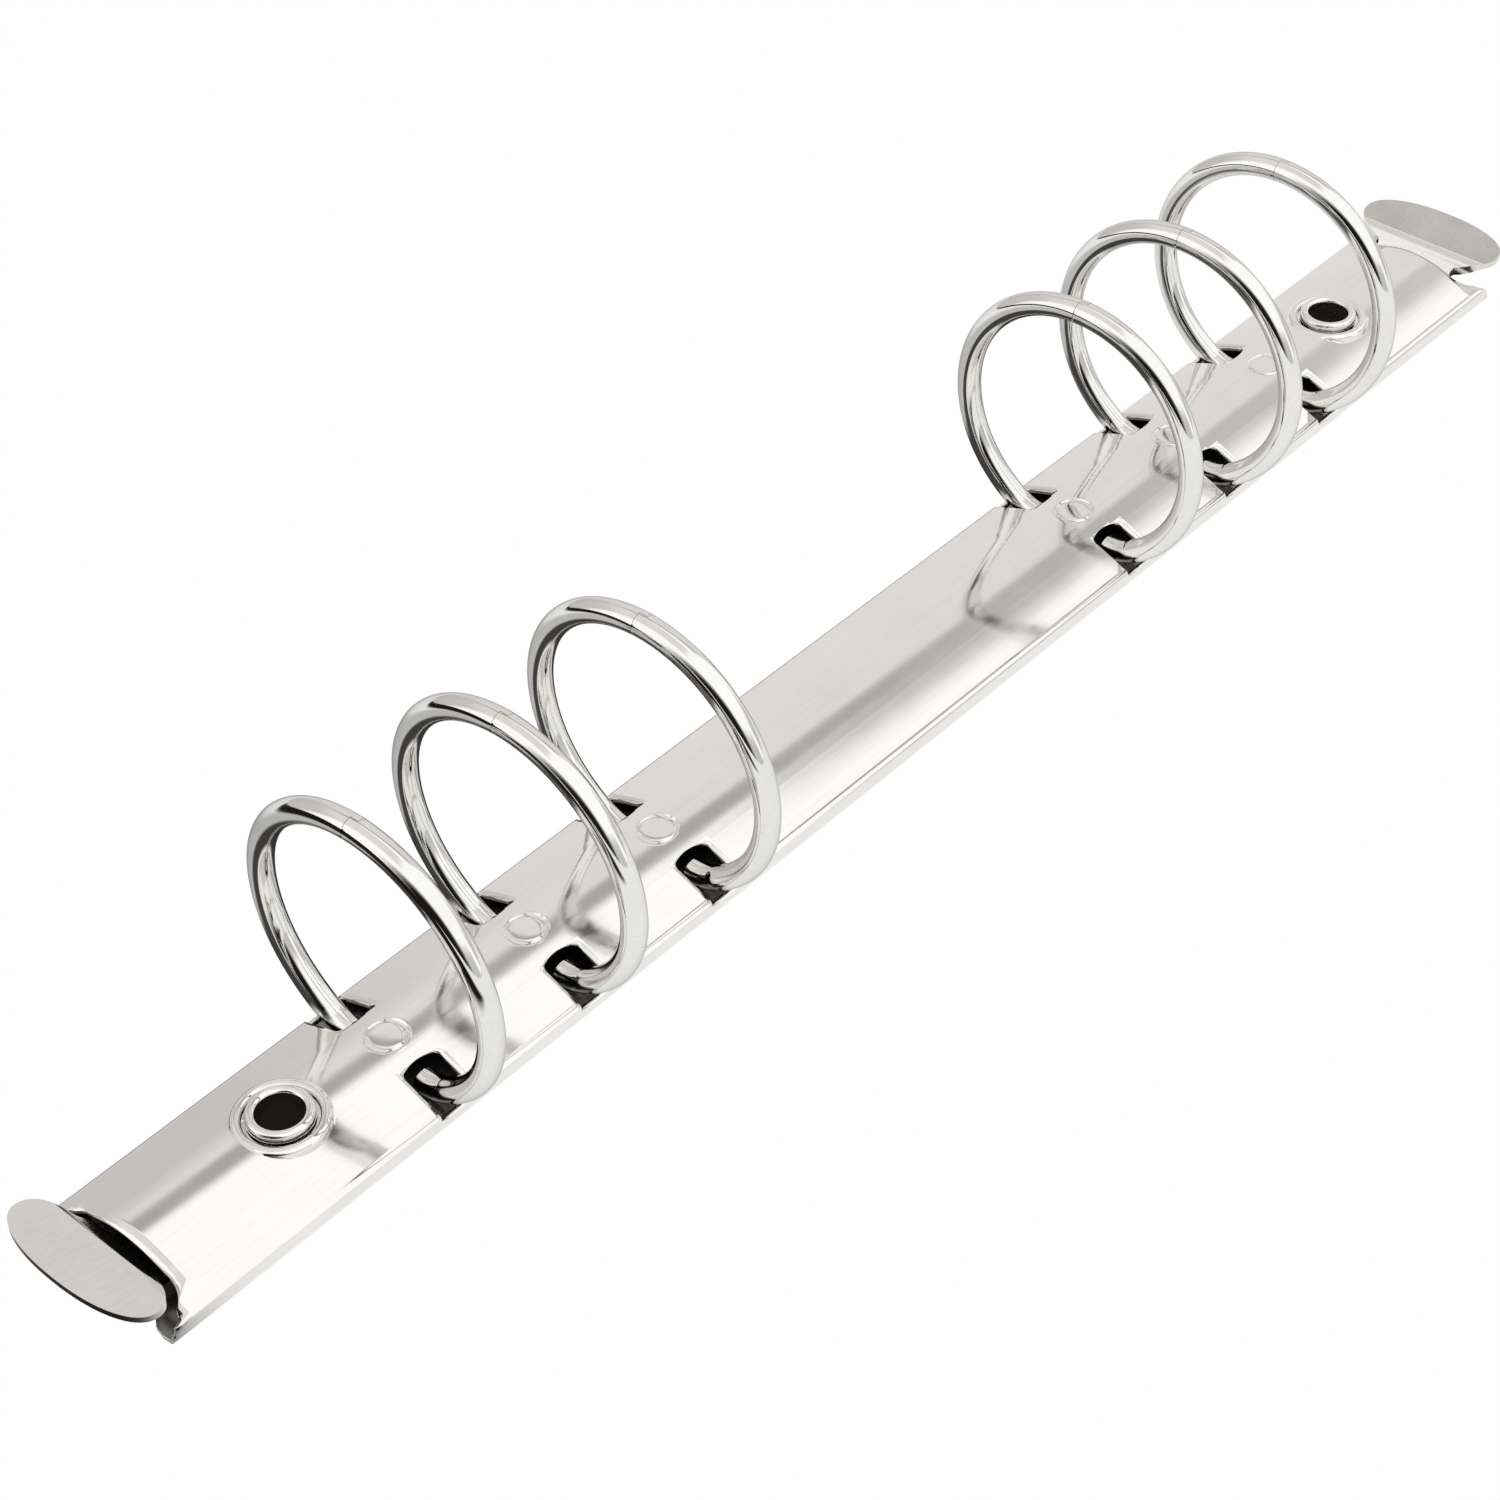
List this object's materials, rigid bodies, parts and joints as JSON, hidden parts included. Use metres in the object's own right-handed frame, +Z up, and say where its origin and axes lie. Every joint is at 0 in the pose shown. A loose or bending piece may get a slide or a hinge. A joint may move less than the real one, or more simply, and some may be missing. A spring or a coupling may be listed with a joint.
{
  "type": "ring binder mechanism",
  "caption": "Loose-leaf ring mechanism: arched spring cover, rings that part at the top on two hinged plates, and a thumb lever at each end.",
  "frame": {"origin": "middle of the mechanism in the plane of its mounting face", "axes": "+X along the cover, +Y across the rings towards the far side, +Z up from the mounting face through the rings"},
  "size_m": [0.2268, 0.0336, 0.0328],
  "materials": {
    "bright_nickel": "bright nickel plate on pressed steel sheet",
    "bright_wire": "bright nickel plate on drawn steel wire",
    "plain_nickel": "thin satin nickel plate on steel strip"
  },
  "bodies": {
    "cover": {"cover_plate": "bright_nickel", "left_eyelet": "bright_nickel", "right_eyelet": "bright_nickel"},
    "near_side": {"near_hinge_plate": "plain_nickel", "near_half_ring_1": "bright_wire", "near_half_ring_2": "bright_wire", "near_half_ring_3": "bright_wire", "near_half_ring_4": "bright_wire", "near_half_ring_5": "bright_wire", "near_half_ring_6": "bright_wire"},
    "far_side": {"far_hinge_plate": "plain_nickel", "far_half_ring_1": "bright_wire", "far_half_ring_2": "bright_wire", "far_half_ring_3": "bright_wire", "far_half_ring_4": "bright_wire", "far_half_ring_5": "bright_wire", "far_half_ring_6": "bright_wire"},
    "left_opener": {"left_lever": "bright_nickel"},
    "right_opener": {"right_lever": "bright_nickel"}
  },
  "joints": [
    {"name": "near_hinge", "type": "hinge", "parent": "cover", "child": "near_side", "pos_m": [0, -0.0089, 0.0009], "axis": [1, 0, 0], "range_deg": [0, 11]},
    {"name": "far_hinge", "type": "hinge", "parent": "cover", "child": "far_side", "pos_m": [0, 0.0089, 0.0009], "axis": [-1, 0, 0], "range_deg": [0, 11]},
    {"name": "left_lever_pivot", "type": "hinge", "parent": "cover", "child": "left_opener", "pos_m": [-0.1015, 0, 0.0011], "axis": [0, -1, 0], "range_deg": [0, 12]},
    {"name": "right_lever_pivot", "type": "hinge", "parent": "cover", "child": "right_opener", "pos_m": [0.1015, 0, 0.0011], "axis": [0, 1, 0], "range_deg": [0, 12]}
  ],
  "couplings": [
    {"joint": "far_hinge", "follows": "near_hinge", "ratio": 1},
    {"joint": "left_lever_pivot", "follows": "near_hinge", "ratio": 1.08},
    {"joint": "right_lever_pivot", "follows": "near_hinge", "ratio": 1.08}
  ]
}
